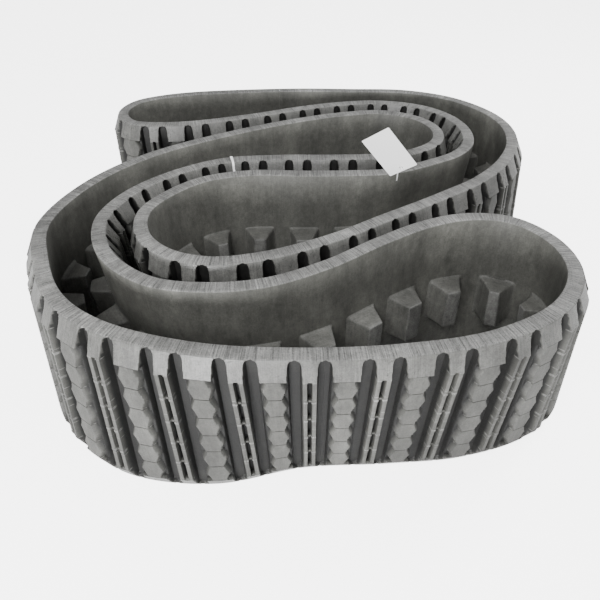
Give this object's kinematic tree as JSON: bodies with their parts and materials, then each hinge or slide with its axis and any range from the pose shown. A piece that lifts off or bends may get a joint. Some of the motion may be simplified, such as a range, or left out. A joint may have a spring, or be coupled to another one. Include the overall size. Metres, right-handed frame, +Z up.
{
  "type": "rubber track",
  "caption": "Endless rubber tracks with blocky bar tread and centre drive lugs, folded into each other and standing on edge, with a blank card on a nylon tie.",
  "frame": {"origin": "middle of the floor area that the folded pair covers, at floor level", "axes": "+Z up, which is across the width of both tracks; +X right and +Y to the rear as the pair is seen from the front"},
  "size_m": [1.6562, 1.6656, 0.6769],
  "materials": {
    "track_rubber": "matt, dusty",
    "cable_steel": "satin",
    "ply_fabric": "matt",
    "card_stock": "matt",
    "nylon": "semi-matt"
  },
  "bodies": {
    "front_track": {"front_tread_section_1": "track_rubber", "front_tread_section_2": "track_rubber", "front_tread_section_3": "track_rubber", "front_tread_section_4": "track_rubber", "front_tread_section_5": "track_rubber", "front_tread_section_6": "track_rubber", "front_drive_section_1": "track_rubber", "front_drive_section_2": "track_rubber", "front_drive_section_3": "track_rubber", "front_drive_section_4": "track_rubber", "front_drive_section_5": "track_rubber", "front_drive_section_6": "track_rubber", "front_cable_band": "cable_steel", "front_fabric_plies": "ply_fabric", "rim_tie": "nylon"},
    "back_track": {"back_tread_section_1": "track_rubber", "back_tread_section_2": "track_rubber", "back_tread_section_3": "track_rubber", "back_tread_section_4": "track_rubber", "back_tread_section_5": "track_rubber", "back_tread_section_6": "track_rubber", "back_drive_section_1": "track_rubber", "back_drive_section_2": "track_rubber", "back_drive_section_3": "track_rubber", "back_drive_section_4": "track_rubber", "back_drive_section_5": "track_rubber", "back_drive_section_6": "track_rubber", "back_cable_band": "cable_steel", "back_fabric_plies": "ply_fabric", "card_tie": "nylon"},
    "card": {"card": "card_stock"}
  },
  "joints": [
    {"name": "back_track_lift", "type": "slide", "parent": "front_track", "child": "back_track", "axis": [0, 0, 1], "range_m": [0, 0.52]},
    {"name": "card_swing", "type": "hinge", "parent": "back_track", "child": "card", "pos_m": [0.2748, -0.0618, 0.544], "axis": [0.671, -0.4358, 0.5999], "range_deg": [-15, 15]}
  ]
}
